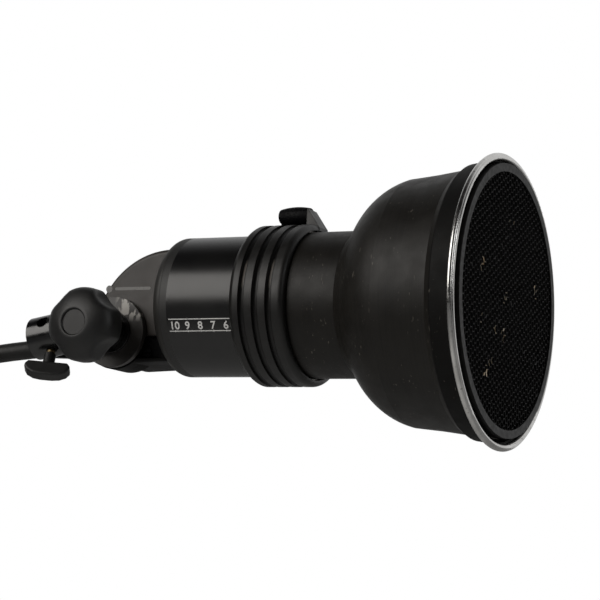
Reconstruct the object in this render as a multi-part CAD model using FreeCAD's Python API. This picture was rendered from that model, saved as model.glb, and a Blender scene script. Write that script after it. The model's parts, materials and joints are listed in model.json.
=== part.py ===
"""A studio flash lamp head: stand adapter, rear casting, 100 mm body, zoom reflector and honeycomb grid.

Millimetres. The origin is the centre of the stand socket's mouth. +X is the way the light shines, +Z is up
and -Y is the side of the tilt knob. Most pieces are built in the head's own frame, whose origin is the head
axis at the seam between the rear cap and the body tube, and are then moved into place by at_head().
"""
import FreeCAD
import Part
import math
import os

Vector = FreeCAD.Vector

# ---- Driving dimensions ----
HEAD = Vector(102.0, 44.0, 27.5)      # head axis at the body's rear seam
TILT_A = -46.0                        # tilt axis, along the head axis from the seam
TILT_U = -21.5                        # tilt axis, above the head axis
BODY_R = 50.0                         # the 100 mm body that every reflector of this family clamps on
BODY_WALL = 2.0
BODY_LENGTH = 120.0
CAP_DEPTH = 8.0                       # rear cap, and the radius of its shoulder
SIDE = 28.0                           # half thickness of the rear casting
CASTING_WALL = 3.0
CASTING_BOTTOM = -43.5
HEEL_RISE = 2.0                       # the bottom rises this much from the heel to the body
SPINE_R = 60.5                        # back of the casting, an arc about SPINE_A, SPINE_U
SPINE_A = -5.0
SPINE_U = -22.0
BOSS_R = 26.0                         # drum that carries the tilt stud
BOSS_INNER = 4.0
FRICTION_R = 22.5
FRICTION_FROM = 27.0
DISC_R = 25.3                         # stand adapter's disc
DISC_FROM = 29.5
DISC_TO = 34.0
STUD_R = 5.0                          # M10 tilt stud
STUD_CLEARANCE = 0.06
TUBE_R = 15.2                         # stand tube
SOCKET_R = 8.15                       # for a 16 mm spigot
TUBE_LENGTH = 42.0
SOCKET_DEPTH = 40.0
TUBE_SLOPE = 10.5                     # degrees, the tube rises towards the head
CLAMP_AT = 14.5                       # clamp screw, from the socket's mouth
CLAMP_LEAN = 28.0                     # degrees that the screw leans from straight down to the knob's side
WING_TURN = -27.0                     # degrees that the wing is turned on its screw, at rest
WING_FROM = 26.0                      # the wing, along its screw from the tube's axis
WING_TO = 37.5
CLAMP_R = 2.95                        # M6 clamp screw
SHOE_R = 4.2
CROSS_HOLE_R = 4.6
CROSS_HOLE_AT = 13.0
CROSS_HOLE_ANGLE = 35.0               # degrees up from -Y, round the tube
KNOB_R = 26.2
KNOB_SCALLOPS = 4
KNOB_BACK = 58.8
KNOB_FACE = 88.0
NECK_R = 11.5
WASHER_R = 15.0
INSERT_R = 8.0
COLLAR_FROM = 56.4                    # rubber collar, rear and front edge
COLLAR_TO = 96.4
COLLAR_R = 57.0
FIRST_GROOVE = 67.4
RIDGE_PITCH = 10.35
SHELL_WALL = 1.2
NECK_OUTER = 51.3
NECK_TO = 134.5
LIP_R = 93.6                          # the flared lip that holds the front ring, from its step to LIP_TO
LIP_TO = 234.0
RIM_FRONT = 239.5
RIM_R = 100.2
GRID_FROM = 228.0                     # the grid stands a little proud of the rolled edge
GRID_TO = 241.0
GRID_R = 92.4
GRID_LIFT = 0.8                       # it sits this much high in its loose seat
CELLS_R = 86.8
DOME_CENTRE = 127.0                   # glass dome: the centre of its round end
DOME_R = 41.0
DOME_WALL = 2.5
FLASH_R = 28.0                        # flash tube's ring, and the radius of its glass
FLASH_TUBE_R = 4.0
LEVER_FROM = 64.5
LEVER_TO = 89.0
LEVER_Y = 5.0                         # the lever's pin lies a little to the far side of the top
LEVER_UP = 65.0
LEVER_HUB = 6.7                       # the hub is a barrel, this thick in its middle
LEVER_PIN_R = 1.8
CASTING_SCREWS = [(-24, 30), (-50, -2)]
SCREW_R = 1.5
SCREW_REACH = 14.5
PANEL_DEPTH = 4.5
PANEL_SCREW = (-20.0, -35.7)
GLAND_SEAT = -69.5                    # the casting's flat that the gland's nut bears on
GLAND_R = 7.9
CORD_R = 6.85                         # a heavy multi-core lead, 13.7 mm across
CORD_Y = 12.0                         # the lead leaves on the far side of the middle plane
CORD_START = -108.0                   # where the lead comes out of its strain relief
COIL_R = 80.0                         # mean radius of the tied coil
COIL_TURNS = 7
COIL_TUBE_R = 21.0                    # seven strands laid as one in the middle of six
COIL = Vector(-175.0, 56.0 - COIL_R - 2 * CORD_R, -190.0)
PLUG_R = 19.0


# ---- Helpers ----
def vec(x, y, z):
    return Vector(x, y, z)


def at_head(shape):
    moved = shape.copy()
    moved.translate(HEAD)
    return moved


def tube_along(radius, start, end):
    """A cylinder between two points."""
    along = end - start
    return Part.makeCylinder(radius, along.Length, start, along)


def ring_x(x0, x1, r_in, r_out):
    outer = Part.makeCylinder(r_out, x1 - x0, vec(x0, 0, 0), vec(1, 0, 0))
    return outer.cut(Part.makeCylinder(r_in, x1 - x0 + 2, vec(x0 - 1, 0, 0), vec(1, 0, 0)))


def outline(start, steps, place):
    """A closed wire. A step is a point, or a pair of points: an arc through the first to the second."""
    edges = []
    here = start
    for step in list(steps) + [start]:
        if isinstance(step[0], tuple):
            middle, there = step
            edges.append(Part.Arc(place(*here), place(*middle), place(*there)).toShape())
        else:
            there = step
            edges.append(Part.LineSegment(place(*here), place(*there)).toShape())
        here = there
    return Part.Wire(edges)


def turned(start, steps):
    """An outline of (along the head axis, radius), turned about the head axis."""
    face = Part.Face(outline(start, steps, lambda x, r: vec(x, 0, r)))
    return face.revolve(vec(0, 0, 0), vec(1, 0, 0), 360)


def side_plate(start, steps, y0, y1):
    """An outline of (along, up), given thickness from y0 to y1."""
    face = Part.Face(outline(start, steps, lambda x, z: vec(x, y0, z)))
    return face.extrude(vec(0, y1 - y0, 0))


def box(x0, x1, y0, y1, z0, z1):
    return Part.makeBox(x1 - x0, y1 - y0, z1 - z0, vec(x0, y0, z0))


def on_circle(count, radius, first=0.0):
    """Points (y, z) evenly spaced round the head axis."""
    return [(radius * math.cos(math.radians(first + 360.0 * k / count)),
             radius * math.sin(math.radians(first + 360.0 * k / count))) for k in range(count)]


def rod_x(radius, x0, x1, y=0.0, z=0.0):
    return tube_along(radius, vec(x0, y, z), vec(x1, y, z))


def write(name, solids):
    """One STEP per sub-part. Several solids of one sub-part are kept as a compound."""
    solids = solids if isinstance(solids, list) else [solids]
    solids = [s for shape in solids for s in shape.Solids]
    for s in solids:
        if not s.isValid() or s.Volume < 0.5:
            raise ValueError(f"{name} has a bad solid")
    shape = solids[0] if len(solids) == 1 else Part.makeCompound(solids)
    shape.exportStep(f"parts/{name}.step")


# ---- Stand adapter: disc, arm and stand tube in one casting ----
def tube_frame():
    """The stand tube's direction, towards the head, and its own up."""
    slope = math.radians(TUBE_SLOPE)
    return vec(math.cos(slope), 0, math.sin(slope)), vec(-math.sin(slope), 0, math.cos(slope))


def clamp_direction():
    """The way the clamp screw points, outwards."""
    up = tube_frame()[1]
    lean = math.radians(CLAMP_LEAN)
    return up * -math.cos(lean) + vec(0, -math.sin(lean), 0)


def tilt_point(t):
    """A point of the tilt axis, t from the head's middle plane towards the knob."""
    return vec(HEAD.x + TILT_A, HEAD.y - t, HEAD.z + TILT_U)


def tilt_cylinder(radius, t0, t1):
    return tube_along(radius, tilt_point(t0), tilt_point(t1))


def stand_adapter():
    along, up = tube_frame()
    tube = tube_along(TUBE_R, vec(0, 0, 0), along * TUBE_LENGTH)
    disc = tilt_cylinder(DISC_R, DISC_FROM, DISC_TO)
    near = HEAD.y - DISC_FROM
    far = HEAD.y - DISC_TO
    root = along * 4
    corners = [root + up * (TUBE_R - 2), along * 46 + up * 21, along * 52 - up * 24, root - up * (TUBE_R - 2)]
    arm = Part.Face(Part.makePolygon([vec(p.x, near, p.z) for p in corners + corners[:1]]))
    arm = arm.extrude(vec(0, far - near, 0))
    body = tube.fuse([disc, arm])
    body = body.cut(tilt_cylinder(DISC_R + 1, FRICTION_FROM - 5, DISC_FROM))
    body = body.cut(tilt_cylinder(WASHER_R + 0.5, DISC_TO, KNOB_BACK + 2))
    body = body.cut(tilt_cylinder(STUD_R + STUD_CLEARANCE, DISC_FROM - 1, DISC_TO + 1))
    body = body.cut(tube_along(SOCKET_R, along * -1, along * SOCKET_DEPTH))
    station = along * CLAMP_AT
    down = clamp_direction()
    body = body.cut(tube_along(SHOE_R + 0.1, station, station + down * 12.4))
    body = body.cut(tube_along(CLAMP_R + 0.06, station, station + down * 20))
    around = math.radians(CROSS_HOLE_ANGLE)
    outward = vec(0, -math.cos(around), 0) + up * math.sin(around)
    hole = along * CROSS_HOLE_AT
    body = body.cut(tube_along(CROSS_HOLE_R, hole, hole + outward * 20))
    return body.removeSplitter()


def clamp_shoe():
    station = tube_frame()[0] * CLAMP_AT
    down = clamp_direction()
    return tube_along(SHOE_R, station + down * 8.6, station + down * 11.2)


def clamp_stud():
    station = tube_frame()[0] * CLAMP_AT
    down = clamp_direction()
    return tube_along(CLAMP_R, station + down * 11.2, station + down * (WING_TO - 3))


def clamp_wing():
    """The wing of the clamp screw: a flat-topped oval grip on a short neck, bored for its stud."""
    along = tube_frame()[0]
    down = clamp_direction()
    station = along * CLAMP_AT
    turn = math.radians(WING_TURN)
    width = along * math.cos(turn) + down.cross(along) * math.sin(turn)
    side = down.cross(width)
    neck = tube_along(4.2, station + down * 17.6, station + down * (WING_FROM + 1))
    thick = 9.0
    right = [(14.0, WING_FROM), (16.0, WING_FROM + 2.5), (16.2, WING_FROM + 5.0), (14.0, WING_TO - 3.2),
             (9.5, WING_TO - 0.8), (4.0, WING_TO)]
    left = [(-w, d) for w, d in reversed(right)]
    points = [station + width * w + down * d - side * (thick / 2) for w, d in right + left]
    head = Part.Face(Part.makePolygon(points + points[:1])).extrude(side * thick)
    head = head.makeFillet(1.6, head.Edges)
    wing = head.fuse(neck)
    return wing.cut(tube_along(CLAMP_R, station, station + down * (WING_TO - 3))).removeSplitter()


# ---- Tilt joint ----
def tilt_stud():
    """A captive M10 stud, with its hexagon head let into the casting's drum."""
    stem = tilt_cylinder(STUD_R, BOSS_INNER + 8, 60)
    flats = 8.5
    across_corners = flats / math.cos(math.pi / 6)
    corners = [tilt_point(BOSS_INNER + 2) + vec(y, 0, z) for y, z in on_circle(6, across_corners)]
    head = Part.Face(Part.makePolygon(corners + corners[:1])).extrude(vec(0, -6, 0))
    return stem.fuse(head).removeSplitter()


def friction_disc():
    return tilt_cylinder(FRICTION_R, FRICTION_FROM, DISC_FROM).cut(tilt_cylinder(STUD_R + 0.1, 20, 30))


def thrust_washer():
    return tilt_cylinder(WASHER_R, DISC_TO, DISC_TO + 2).cut(tilt_cylinder(STUD_R + STUD_CLEARANCE, 30, 40))


def knob_insert():
    insert = tilt_cylinder(INSERT_R, DISC_TO + 2, KNOB_FACE - 24)
    return insert.cut(tilt_cylinder(STUD_R + STUD_CLEARANCE, 30, 61))


def knob_collar():
    """The sleeve that the knob is moulded on."""
    return tilt_cylinder(NECK_R, DISC_TO + 2.5, KNOB_BACK).cut(tilt_cylinder(INSERT_R, 30, KNOB_BACK + 1))


def tilt_knob():
    """A soft domed knob with broad scallops."""
    profile = [(NECK_R, KNOB_BACK), (19.0, 60.8), (KNOB_R - 1.5, 62.2), (KNOB_R, 65.3),
               (KNOB_R, KNOB_FACE - 14.0), (KNOB_R - 1.8, KNOB_FACE - 9.5), (KNOB_R - 5.5, KNOB_FACE - 5.5),
               (KNOB_R - 11.0, KNOB_FACE - 2.0), (9.6, KNOB_FACE)]
    centre = tilt_point(0)
    points = [centre + vec(0, -KNOB_BACK, 0)] + [centre + vec(r, -t, 0) for r, t in profile]
    points.append(centre + vec(0, -KNOB_FACE, 0))
    knob = Part.Face(Part.makePolygon(points + points[:1])).revolve(centre, vec(0, -1, 0), 360)
    scallop_r = 22.0
    for x, z in on_circle(KNOB_SCALLOPS, KNOB_R + scallop_r - 3.8, 45.0):
        knob = knob.cut(Part.makeCylinder(scallop_r, 40, centre + vec(x, -56, z), vec(0, -1, 0)))
    knob = knob.cut(tilt_cylinder(INSERT_R, 30, KNOB_FACE - 24))
    return knob.cut(tilt_cylinder(9.0, KNOB_FACE - 3.5, KNOB_FACE + 1)).removeSplitter()


def knob_cap():
    return tilt_cylinder(8.9, KNOB_FACE - 3.5, KNOB_FACE - 1.8)


# ---- Rear casting ----
def spine_point(degrees):
    """A point of the casting's back, degrees round from straight up towards the rear."""
    a = math.radians(degrees)
    return (SPINE_A - SPINE_R * math.sin(a), SPINE_U + SPINE_R * math.cos(a))


def casting_outline(inset):
    """Side view of the casting, with every wall moved in by inset."""
    grow = (SPINE_R - inset) / SPINE_R
    back = [(SPINE_A + (x - SPINE_A) * grow, SPINE_U + (z - SPINE_U) * grow)
            for x, z in (spine_point(0), spine_point(45), spine_point(90))]
    low = CASTING_BOTTOM + inset
    heel = 18.0 - inset
    tail = back[2][0]
    bend = math.sqrt(0.5) * heel
    heel_arc = ((tail + heel - bend, low + heel - bend), (tail + heel, low))
    front = (-1.0, low + HEEL_RISE)
    return (-1.0, back[0][1]), [back[0], (back[1], back[2]), (tail, low + heel), heel_arc, front]


def casting():
    start, steps = casting_outline(0)
    outer = side_plate(start, steps, -SIDE, SIDE)
    rims = [e for e in outer.Edges if abs(e.BoundBox.YLength) < 1e-6 and e.BoundBox.XMin < -12]
    outer = outer.makeFillet(3.5, rims)
    drum = tube_along(BOSS_R, vec(TILT_A, -BOSS_INNER, TILT_U), vec(TILT_A, -SIDE, TILT_U))
    seat = tube_along(12.5, lead_point(-74), lead_point(-58)).cut(box(-90, GLAND_SEAT, -60, 60, -60, 60))
    start, steps = casting_outline(CASTING_WALL)
    hollow = side_plate(start, steps, -SIDE + CASTING_WALL, SIDE - CASTING_WALL)
    shell = outer.fuse([drum, seat]).cut(hollow.cut(drum))
    shell = shell.cut(cap_solid())
    shell = shell.cut(tube_along(GLAND_R + 0.05, lead_point(-80), lead_point(-40)))
    local = tilt_point(0) - HEAD
    axis = vec(0, -1, 0)
    shell = shell.cut(Part.makeCylinder(FRICTION_R + 0.5, 5, local + axis * FRICTION_FROM, axis))
    shell = shell.cut(Part.makeCylinder(STUD_R, 40, local, axis))
    shell = shell.cut(Part.makeCylinder(10.2, BOSS_INNER + 8, local, axis))
    shell = shell.cut(box(-30.5, -8.5, -SIDE - 1, -SIDE + PANEL_DEPTH, -39.7, -24.0))
    for x, z in CASTING_SCREWS:
        shell = shell.cut(across(SCREW_R, x, z, -SCREW_REACH, SIDE + 1))
        shell = shell.cut(across(3.0, x, z, SIDE - 2, SIDE + 1))
    return shell


def across(radius, x, z, y0, y1):
    """A cylinder that crosses the casting."""
    return tube_along(radius, vec(x, y0, z), vec(x, y1, z))


def casting_screws():
    """Two cheese-head screws that pull the far half on to the near half."""
    return [across(SCREW_R, x, z, -SCREW_REACH, SIDE - 2).fuse(across(2.9, x, z, SIDE - 2, SIDE - 0.4))
            for x, z in CASTING_SCREWS]


def screw_posts():
    return [across(4.0, x, z, 2 - SIDE, SIDE - 2).cut(across(SCREW_R, x, z, -SCREW_REACH, SIDE))
            for x, z in CASTING_SCREWS]


def access_panel():
    plate = box(-30.0, -9.0, -SIDE + PANEL_DEPTH - 1.5, -SIDE + PANEL_DEPTH, -39.2, -24.5)
    x, z = PANEL_SCREW
    return plate.cut(across(2.0, x, z, -SIDE, -20))


def panel_screw():
    """A slotted pan-head screw."""
    x, z = PANEL_SCREW
    plate_face = -SIDE + PANEL_DEPTH - 1.5
    head = across(3.0, x, z, plate_face - 1.8, plate_face)
    stem = across(2.0, x, z, plate_face, plate_face + 1.5)
    slot = box(x - 5, x + 5, plate_face - 2.0, plate_face - 0.9, z - 0.5, z + 0.5)
    return head.fuse(stem).cut(slot).removeSplitter()


# ---- Body ----
def cap_solid():
    """The whole outer volume of the rear cap."""
    mid = (-CAP_DEPTH * math.sqrt(0.5), BODY_R - CAP_DEPTH * (1 - math.sqrt(0.5)))
    return turned((0, 0), [(0, BODY_R), (mid, (-CAP_DEPTH, BODY_R - CAP_DEPTH)), (-CAP_DEPTH, 0)])


def rear_cap():
    """A cast cap with a spigot that the body tube slides over."""
    inner = turned((0, 0), [(0, 45.0), (-4.0, 41.0), (-4.0, 0)])
    cap = cap_solid().cut(inner)
    cap = cap.fuse(ring_x(-0.5, 7, 45.0, BODY_R - BODY_WALL - 0.02))
    cap = cap.cut(rod_x(19.0, -10, 0))
    return cap.removeSplitter()


def body_tube():
    return ring_x(0, BODY_LENGTH, BODY_R - BODY_WALL, BODY_R)


def fan_frame():
    frame = box(10, 25, -30, 30, -30, 30)
    frame = frame.cut(rod_x(28.0, 9, 26))
    hub = rod_x(13.0, 22, 25)
    arms = [box(22.5, 24.5, -31, 31, -1.5, 1.5), box(22.5, 24.5, -1.5, 1.5, -31, 31)]
    frame = frame.fuse([hub] + arms)
    for y, z in on_circle(4, 25 * math.sqrt(2), 45):
        frame = frame.cut(rod_x(2.0, 9, 26, y, z))
    frame = frame.common(box(9, 26, -30, 30, -30, 30))
    return frame.cut(rod_x(2.05, 19, 26)).removeSplitter()


def fan_rotor():
    """A hub with seven blades on a 4 mm spindle."""
    rotor = rod_x(12.5, 11, 21.5)
    for k in range(7):
        blade = box(12.5, 20.5, -1.0, 1.0, 11.5, 27.2)
        blade.rotate(vec(16.5, 0, 0), vec(0, 0, 1), 38)
        blade = blade.common(rod_x(27.2, 11, 22))
        blade.rotate(vec(0, 0, 0), vec(1, 0, 0), 360.0 * k / 7)
        rotor = rotor.fuse(blade)
    return rotor.fuse(rod_x(2.0, 21, 24.5)).removeSplitter()


def fan_standoffs():
    return [rod_x(3.5, -4, 10, y, z) for y, z in on_circle(4, 25 * math.sqrt(2), 45)]


def chassis_rods():
    return [rod_x(2.5, 33.6, 114, y, z) for y, z in on_circle(3, 38, 90)] + [
        rod_x(2.0, 25, 32, y, z) for y, z in on_circle(4, 25 * math.sqrt(2), 45)]


def circuit_board():
    return rod_x(44.0, 32, 33.6).cut(rod_x(9.0, 31, 35))


def trigger_coil():
    """Two wound bobbins on the board."""
    return [rod_x(9.0, 33.6, 57, -18, 12).fuse(ring_x(33.6, 36, 0.1, 11).translated(vec(0, -18, 12))),
            rod_x(7.0, 33.6, 52, 20, -10)]


def heat_shield():
    plate = rod_x(46.5, 70, 71.2)
    plate = plate.cut(rod_x(14.5, 69, 72))
    for y, z in on_circle(3, 38, 90):
        plate = plate.cut(rod_x(2.5, 69, 72, y, z))
    for y, z in on_circle(12, 31):
        plate = plate.cut(rod_x(2.5, 69, 72, y, z))
    return plate


def lamp_socket():
    return rod_x(11.0, 76, 104).cut(rod_x(6.0, 96, 105)).fuse(ring_x(76, 80, 5, 14)).removeSplitter()


def modelling_lamp():
    """A single-ended halogen lamp: ceramic foot and quartz envelope with a rounded tip."""
    shoulder, tip = cap_arc(140.0, 7.5, 90)
    return turned((96, 0), [(96, 5.9), (108, 5.9), (108, 7.5), shoulder, tip])


def cap_arc(centre, radius, degrees):
    """Half a domed end's section: where it starts, degrees round from the axis, and the arc to the axis."""
    first, half = math.radians(degrees), math.radians(degrees) / 2
    start = (centre + radius * math.cos(first), radius * math.sin(first))
    middle = (centre + radius * math.cos(half), radius * math.sin(half))
    return start, (middle, (centre + radius, 0))


def front_plate():
    plate = rod_x(BODY_R - BODY_WALL - 0.2, 114, 118)
    plate = plate.cut(rod_x(12.0, 113, 119))
    for y, z in terminal_places():
        plate = plate.cut(rod_x(3.4, 113, 119, y, z))
    return plate


def terminal_places():
    return [(7.0, -27.1), (-7.0, -27.1)]


def flash_tube():
    """An almost closed quartz ring with two legs through the front plate."""
    ring = Part.makeTorus(FLASH_R, FLASH_TUBE_R, vec(133, 0, 0), vec(1, 0, 0), 0, 360, 360)
    gap = box(120, 146, -7.0, 7.0, -40, -15)
    ring = ring.cut(gap)
    legs = [rod_x(3.3, 121, 133, y, z) for y, z in terminal_places()]
    return ring.fuse(legs).removeSplitter()


def flash_tube_terminals():
    return [rod_x(3.3, 106, 121, y, z) for y, z in terminal_places()]


def trigger_wire():
    """The trigger band round the outside of the flash ring."""
    band = ring_x(132.4, 133.6, FLASH_R + FLASH_TUBE_R, FLASH_R + FLASH_TUBE_R + 0.5)
    return band.cut(box(120, 146, -9.0, 9.0, -45, -15))


def glass_dome():
    """Domed glass cover with a flange."""
    outer, outer_arc = cap_arc(DOME_CENTRE, DOME_R, 90)
    inner, inner_arc = cap_arc(DOME_CENTRE, DOME_R - DOME_WALL, 90)
    tip = inner_arc[1]
    return turned((118, 38.5), [(118, 44.0), (120.5, 44.0), (120.5, DOME_R), outer, outer_arc, tip,
                                (inner_arc[0], inner)])


def dome_ring():
    return turned((118, 44.1), [(118, 47.9), (122.5, 47.9), (122.5, 41.2), (120.6, 41.2), (120.6, 44.1)])


def lead_height(a):
    """Height of the lead's axis behind the head: it drops 3.5 degrees towards the rear."""
    return -22.8 + (a + 66.0) * math.tan(math.radians(3.5))


def lead_axis():
    slope = math.radians(3.5)
    return vec(math.cos(slope), 0, math.sin(slope))


def lead_point(a):
    return vec(a, CORD_Y, lead_height(a))


def cable_gland():
    """Gland with a hexagon nut outside the casting, bored for the lead."""
    stem = tube_along(GLAND_R, lead_point(-74), lead_point(-58.5))
    corners = [lead_point(-75.5) + vec(0, y, z) for y, z in on_circle(6, 12.0)]
    nut = Part.Face(Part.makePolygon(corners + corners[:1])).extrude(lead_axis() * 6.0)
    nut = nut.cut(box(GLAND_SEAT, -50, -60, 60, -60, 60))
    return stem.fuse(nut).cut(tube_along(CORD_R + 0.02, lead_point(-90), lead_point(-50))).removeSplitter()


def strain_relief():
    """A tapered rubber sleeve on the lead."""
    length = 34.0
    cone = Part.makeCone(8.2, 10.6, length, lead_point(-75.6 - length), lead_axis())
    cone = cone.cut(box(-75.5, -50, -60, 60, -60, 60))
    return cone.cut(tube_along(CORD_R + 0.02, lead_point(-130), lead_point(-50)))


def lead_stub():
    return tube_along(CORD_R, lead_point(CORD_START), lead_point(-56))


# ---- Reflector ----
def reflector_neck():
    """The straight neck that slides on the body, let into the bell's rear edge."""
    return ring_x(COLLAR_FROM + 2.6, NECK_TO, NECK_OUTER - SHELL_WALL, NECK_OUTER)


def bell_outline(inset):
    """Outside of the spun bell, from the neck to the lip's step, moved in by inset."""
    return [(NECK_TO, NECK_OUTER - inset),
            ((138.0 + inset * 0.4, 54.0 - inset), (144.0 + inset * 0.8, 62.0 - inset * 0.7)),
            ((157.0 + inset * 0.5, 76.2 - inset * 0.8), (176.0, 85.2 - inset)),
            (196.0, 87.2 - inset), (216.0, 89.9 - inset)]


def reflector_shell():
    outer = bell_outline(0)
    inner = bell_outline(SHELL_WALL)
    lip = [(221.0, LIP_R), (LIP_TO, LIP_R + 1.8)]
    lip += [(LIP_TO, LIP_R + 1.8 - SHELL_WALL), (221.6, LIP_R - SHELL_WALL)]
    back = [inner[4], inner[3], inner[2][1], (inner[2][0], inner[1][1]), (inner[1][0], inner[0])]
    return turned(outer[0], outer[1:] + lip + back)


def rim_bead():
    """The rolled edge."""
    inside = 95.0
    return turned((LIP_TO, inside), [(LIP_TO, LIP_R + 1.8), (234.8, 98.0), ((236.6, RIM_R), (238.6, 98.9)),
                                     ((RIM_FRONT, 97.0), (238.6, 95.6)), (237.6, inside)])


def front_ring():
    """The ring inside the lip that the grid seats against."""
    return ring_x(222.4, GRID_FROM - 0.2, 89.5, LIP_R - SHELL_WALL - 0.1)


def collar_rubber():
    """Rubber collar with four rounded ridges."""
    steps = [((COLLAR_FROM + 1.2, 54.6), (COLLAR_FROM + 4.4, COLLAR_R))]
    for k in range(3):
        groove = FIRST_GROOVE + k * RIDGE_PITCH
        steps += [(groove - 2.3, COLLAR_R), ((groove, COLLAR_R - 3.4), (groove + 2.3, COLLAR_R))]
    steps += [(COLLAR_TO - 1.2, COLLAR_R), ((COLLAR_TO + 1.4, 56.0), (COLLAR_TO + 3.0, 52.5))]
    collar = turned((COLLAR_FROM, 52.5), steps)
    return collar.cut(box(LEVER_TO - 0.3, 101, -4.5, 10.5, 40, 70)).removeSplitter()


def collar_band():
    """The spring steel band that the lever draws tight, split at the top."""
    band = ring_x(60, 95, NECK_OUTER + 0.05, 52.4)
    return band.cut(box(50, LEVER_TO - 0.5, 4, 8, 40, 60))


def ear_block():
    """The ear's side view: upright behind, with a front that slopes down to the neck."""
    back = LEVER_TO + 0.2
    return side_plate((back, 50), [(back, 68.4), (back + 0.8, 68.6), (99.5, 55.0), (99.5, 50)], -4.0, 10.0)


def lever_bracket():
    """The fixed ear that carries the lever's pin."""
    ear = ear_block().cut(Part.makeCylinder(52.45, 60, vec(60, 0, 0), vec(1, 0, 0)))
    return ear.cut(rod_x(LEVER_PIN_R, 60, LEVER_TO + 10, LEVER_Y, LEVER_UP))


def lever_pin():
    """The pin ends flush with the ear's slope."""
    pin = rod_x(LEVER_PIN_R, LEVER_FROM + 2, LEVER_TO + 10, LEVER_Y, LEVER_UP)
    reach = box(LEVER_FROM, LEVER_TO + 0.2, 0, 10, 60, 70)
    return pin.common(reach.fuse(ear_block())).removeSplitter()


def clamp_lever():
    """Cam hub and a curved thumb plate that lies over the collar on the far side."""
    start, middle, end = LEVER_FROM, (LEVER_FROM + LEVER_TO) / 2, LEVER_TO
    arc = Part.Arc(vec(start, 0, LEVER_HUB - 1.7), vec(middle, 0, LEVER_HUB), vec(end, 0, LEVER_HUB - 1.3))
    ends = Part.makePolygon([vec(end, 0, LEVER_HUB - 1.3), vec(end, 0, 0), vec(start, 0, 0),
                             vec(start, 0, LEVER_HUB - 1.7)])
    hub = Part.Face(Part.Wire([arc.toShape()] + ends.Edges)).revolve(vec(0, 0, 0), vec(1, 0, 0), 360)
    hub = hub.makeFillet(1.6, [e for e in hub.Edges if e.Length > 25])
    hub = hub.translated(vec(0, LEVER_Y, LEVER_UP))
    plate = ring_x(LEVER_FROM, LEVER_TO, 57.8, 62.0)
    wedge = Part.Face(Part.makePolygon([vec(50, 0, 0), vec(50, 8, 80), vec(50, 68, 66), vec(50, 0, 0)]))
    plate = plate.common(wedge.extrude(vec(60, 0, 0)))
    lever = hub.fuse(plate)
    lever = lever.cut(Part.makeCylinder(57.6, 60, vec(55, 0, 0), vec(1, 0, 0)))
    return lever.cut(rod_x(LEVER_PIN_R + 0.06, LEVER_FROM + 1.9, 100, LEVER_Y, LEVER_UP)).removeSplitter()


# ---- Grid ----
def lifted(shape):
    return shape.translated(vec(0, 0, GRID_LIFT))


def grid_frame():
    return lifted(ring_x(GRID_FROM, GRID_TO, CELLS_R, GRID_R))


def grid_honeycomb():
    return lifted(rod_x(CELLS_R, GRID_FROM + 0.5, GRID_TO - 0.6))


def grid_clips():
    """Three leaf springs round the grid's frame."""
    strip = ring_x(GRID_FROM + 1, GRID_FROM + 6, GRID_R, GRID_R + 0.15)
    clips = []
    for k in range(3):
        wedge = box(GRID_FROM, GRID_TO, -7, 7, 80, 100)
        wedge.rotate(vec(0, 0, 0), vec(1, 0, 0), 120.0 * k + 60)
        clips.append(lifted(strip.common(wedge)))
    return clips


# ---- Wiring inside the head ----
def head_wiring():
    """Three insulated leads from the gland to the circuit board."""
    wires = []
    for k, spread in enumerate((-3.6, 0.0, 3.6)):
        route = [vec(-55.9, CORD_Y + spread, lead_height(-56)), vec(-44, CORD_Y + spread, lead_height(-44)),
                 vec(-20, 9 + spread, -6), vec(0, 6 + spread, -2), vec(9.8, 6 + spread, -2)]
        path = rounded_path(route)[0]
        wires.append(pipe(path, route, 1.5))
    return wires


# ---- Lead ----
def rounded_path(points):
    """Straight runs joined by tangent arcs, each as large as its two runs allow, and the arcs' radii."""
    edges = []
    radii = []
    here = points[0]
    for before, corner, after in zip(points, points[1:], points[2:]):
        back = before - corner
        on = after - corner
        turn = math.pi - back.getAngle(on)
        reach = 0.45 * min(back.Length, on.Length)
        radius = reach / math.tan(turn / 2)
        back.normalize()
        on.normalize()
        enter = corner + back * reach
        leave = corner + on * reach
        bisector = back + on
        bisector.normalize()
        middle = corner + bisector * (radius / math.cos(turn / 2) - radius)
        edges.append(Part.LineSegment(here, enter).toShape())
        edges.append(Part.Arc(enter, middle, leave).toShape())
        radii.append(radius)
        here = leave
    edges.append(Part.LineSegment(here, points[-1]).toShape())
    return Part.Wire(edges), radii


def pipe(path, points, radius):
    start = points[0]
    circle = Part.Wire(Part.Circle(start, points[1] - start, radius).toShape())
    return path.makePipeShell([circle], True, False)


def lead_route():
    """The lead from its strain relief to the coil, chosen by hand."""
    start = lead_point(CORD_START) + HEAD
    return [start, lead_point(-168) + HEAD, vec(-111, 56, -11.2), vec(-148, 56, -38), vec(-170, 56, -79),
            vec(-175, 56, -125), vec(-175, 56, -168)]


def end_route():
    """The last stretch, from the coil down to the plug."""
    lane = COIL + vec(2 * CORD_R * math.cos(math.radians(30)), COIL_R + CORD_R, 0)
    return [lane + vec(0, 0, -22), lane + vec(0, 0, -74)]


def head_cable_coil():
    return Part.makeTorus(COIL_R, COIL_TUBE_R, COIL, vec(1, 0, 0))


def cable_ties():
    """Two hook-and-loop ties round the coil."""
    ties = []
    for degrees in (20, 125):
        tie = Part.makeTorus(COIL_R, COIL_TUBE_R + 1.8, COIL, vec(1, 0, 0), 0, 360, 14)
        tie = tie.cut(Part.makeTorus(COIL_R, COIL_TUBE_R, COIL, vec(1, 0, 0)))
        tie.rotate(COIL, vec(1, 0, 0), degrees)
        ties.append(tie)
    return ties


def plug_point(drop):
    """A point of the plug's axis, a distance below the end of the lead."""
    return end_route()[1] + vec(0, 0, -drop)


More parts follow.
